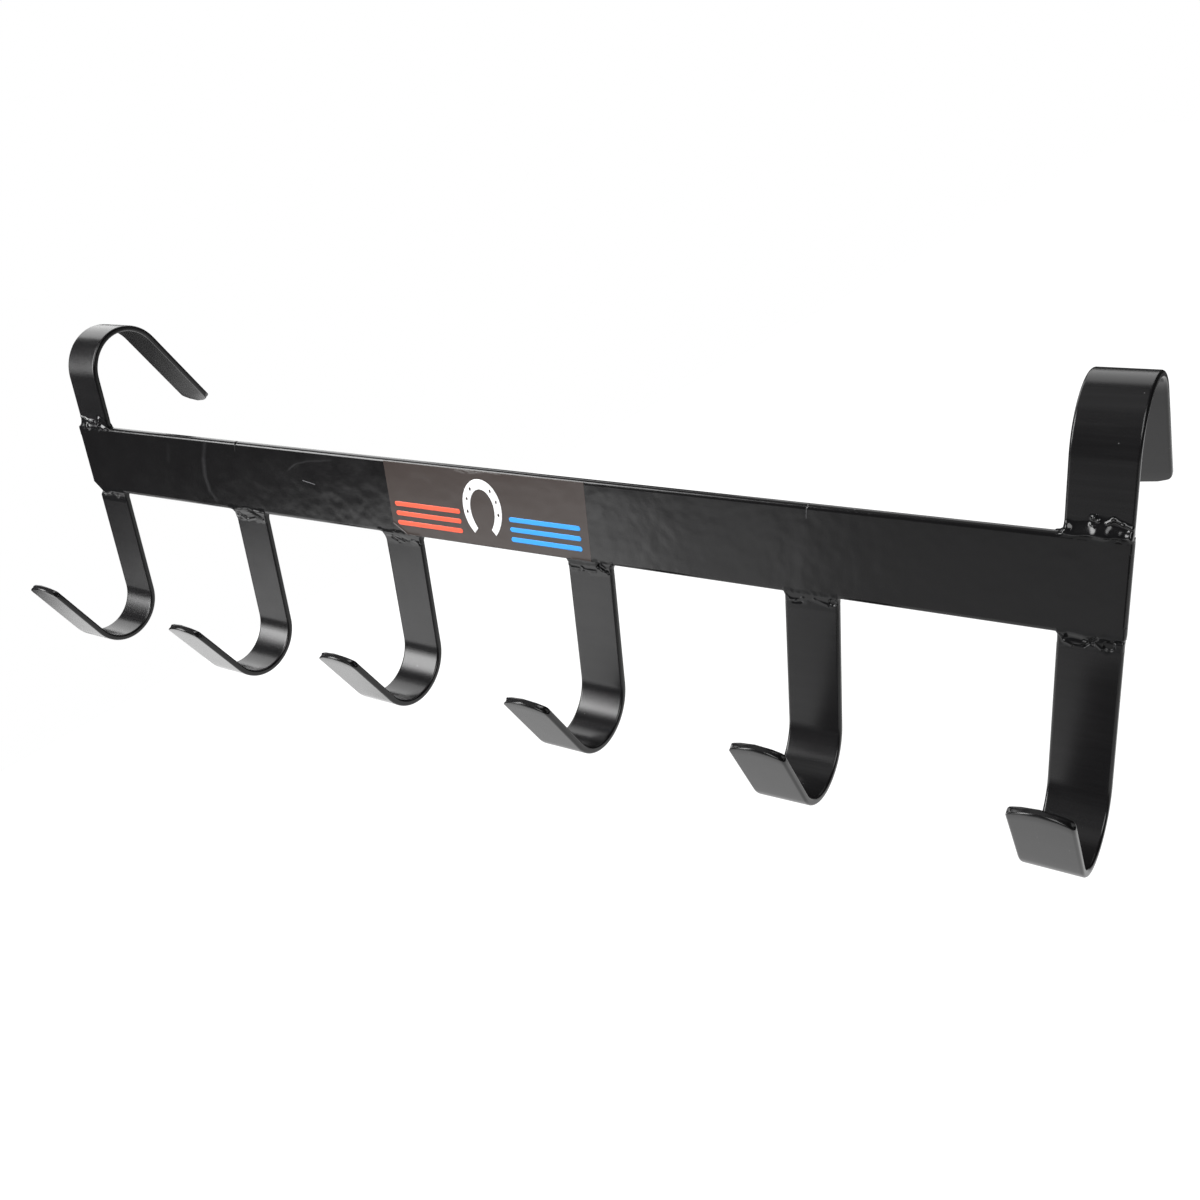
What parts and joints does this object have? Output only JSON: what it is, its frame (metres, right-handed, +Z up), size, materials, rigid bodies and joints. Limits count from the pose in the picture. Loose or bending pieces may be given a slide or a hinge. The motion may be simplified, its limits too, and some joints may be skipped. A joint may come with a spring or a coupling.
{
  "type": "over-the-rail tack rack",
  "caption": "Flat steel bar with J hooks welded along its lower edge and a bent strap hanger at each end that drops over a stall rail or board.",
  "frame": {"origin": "centre of the crossbar's back face, the face that lies against the rail or board", "axes": "+X along the bar, +Y backwards over the rail, -Y towards the hook tips, +Z up"},
  "size_m": [0.7311, 0.1762, 0.226],
  "materials": {
    "powder_coat": "semi-gloss black powder coat on flat steel bar",
    "weld_coat": "glossier black powder coat run over lumpy weld beads",
    "label": "thin clear film with a plain printed horseshoe and stripes"
  },
  "bodies": {
    "root": {"crossbar": "powder_coat", "hanger_left": "powder_coat", "hanger_right": "powder_coat", "hook_1": "powder_coat", "hook_2": "powder_coat", "hook_3": "powder_coat", "hook_4": "powder_coat", "hook_5": "powder_coat", "hook_6": "powder_coat", "weld_hanger_left_front": "weld_coat", "weld_hanger_left_back": "weld_coat", "weld_hanger_right_front": "weld_coat", "weld_hanger_right_back": "weld_coat", "weld_hook_1_front": "weld_coat", "weld_hook_1_back": "weld_coat", "weld_hook_2_front": "weld_coat", "weld_hook_2_back": "weld_coat", "weld_hook_3_front": "weld_coat", "weld_hook_3_back": "weld_coat", "weld_hook_4_front": "weld_coat", "weld_hook_4_back": "weld_coat", "weld_hook_5_front": "weld_coat", "weld_hook_5_back": "weld_coat", "weld_hook_6_front": "weld_coat", "weld_hook_6_back": "weld_coat", "label_film": "label"}
  },
  "joints": []
}
